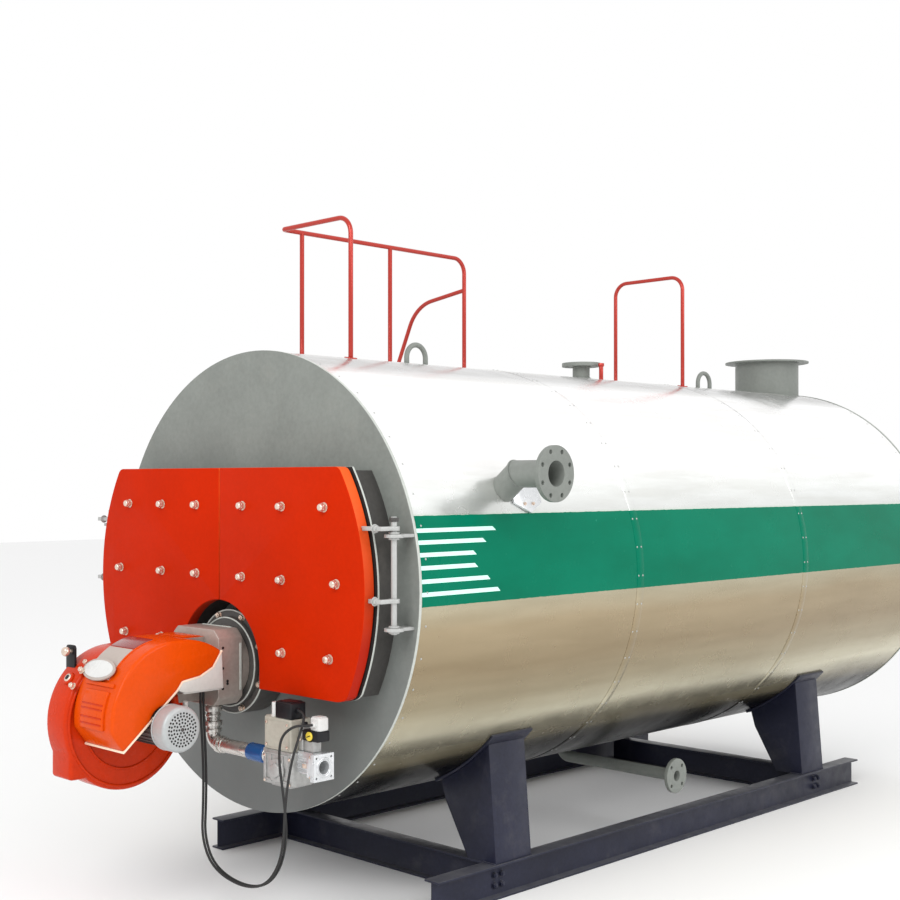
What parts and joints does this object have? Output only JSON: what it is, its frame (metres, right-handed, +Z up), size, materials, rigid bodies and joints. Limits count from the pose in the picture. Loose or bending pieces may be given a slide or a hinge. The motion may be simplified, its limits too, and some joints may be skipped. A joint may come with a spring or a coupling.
{
  "type": "horizontal industrial boiler",
  "caption": "Horizontal shell boiler in polished cladding on a beam skid, with a forced-draught gas burner, smoke box doors, ladder and guard rails.",
  "frame": {"origin": "on the floor, at the middle of the underside of the front cross beam of the skid", "axes": "+Y along the boiler from the burner to the rear, +X to the right seen from the burner end, +Z up"},
  "size_m": [2.1565, 5.241, 2.8655],
  "materials": {
    "skid": "satin",
    "grey_paint": "satin",
    "cladding": "mirror polished stainless sheet",
    "door_paint": "gloss",
    "steel": "satin",
    "burner_grey": "satin",
    "burner_red": "gloss",
    "zinc": "satin",
    "aluminium": "cast",
    "motor_grey": "satin",
    "union_blue": "gloss",
    "black_plastic": "matte",
    "pale_plastic": "gloss",
    "rail_red": "gloss",
    "cable_black": "matte"
  },
  "bodies": {
    "boiler": {"skid_beam_right": "skid", "skid_beam_left": "skid", "cross_beam_front": "skid", "cross_beam_rear": "skid", "saddle_front_right": "skid", "saddle_front_left": "skid", "saddle_rear_right": "skid", "saddle_rear_left": "skid", "saddle_pads": "skid", "front_plate": "grey_paint", "rear_plate": "grey_paint", "rear_cover": "grey_paint", "shell_casing": "cladding", "smoke_box": "grey_paint", "hinge_brackets": "grey_paint", "hinge_rods": "steel", "furnace_collar": "grey_paint", "burner_flange": "burner_grey", "burner_neck": "burner_grey", "burner_head": "burner_grey", "burner_cover": "burner_red", "bracket_panel": "zinc", "fan_housing": "burner_red", "motor_body": "motor_grey", "motor_cowl": "motor_grey", "gas_pipe": "steel", "gas_union": "union_blue", "gas_valve": "aluminium", "gas_solenoid": "zinc", "solenoid_connector": "black_plastic", "gas_regulator": "aluminium", "gas_inlet": "aluminium", "pressure_switch": "black_plastic", "switch_plug": "pale_plastic", "side_nozzle": "grey_paint", "steam_nozzle": "grey_paint", "chimney": "grey_paint", "drain_pipe": "grey_paint", "lifting_lugs": "grey_paint", "guard_rail_front": "rail_red", "guard_rail_rear": "rail_red", "ladder": "rail_red", "switch_cable": "cable_black", "solenoid_cable": "cable_black"},
    "right_door": {"door_right": "door_paint", "door_arms_right": "grey_paint"},
    "left_door": {"door_left": "door_paint", "door_arms_left": "grey_paint"}
  },
  "joints": [
    {"name": "right_door_hinge", "type": "hinge", "parent": "boiler", "child": "right_door", "pos_m": [0.909, -0.83, 1.3], "axis": [0, 0, 1], "range_deg": [0, 105]},
    {"name": "left_door_hinge", "type": "hinge", "parent": "boiler", "child": "left_door", "pos_m": [-0.909, -0.83, 1.3], "axis": [0, 0, -1], "range_deg": [0, 105]}
  ]
}
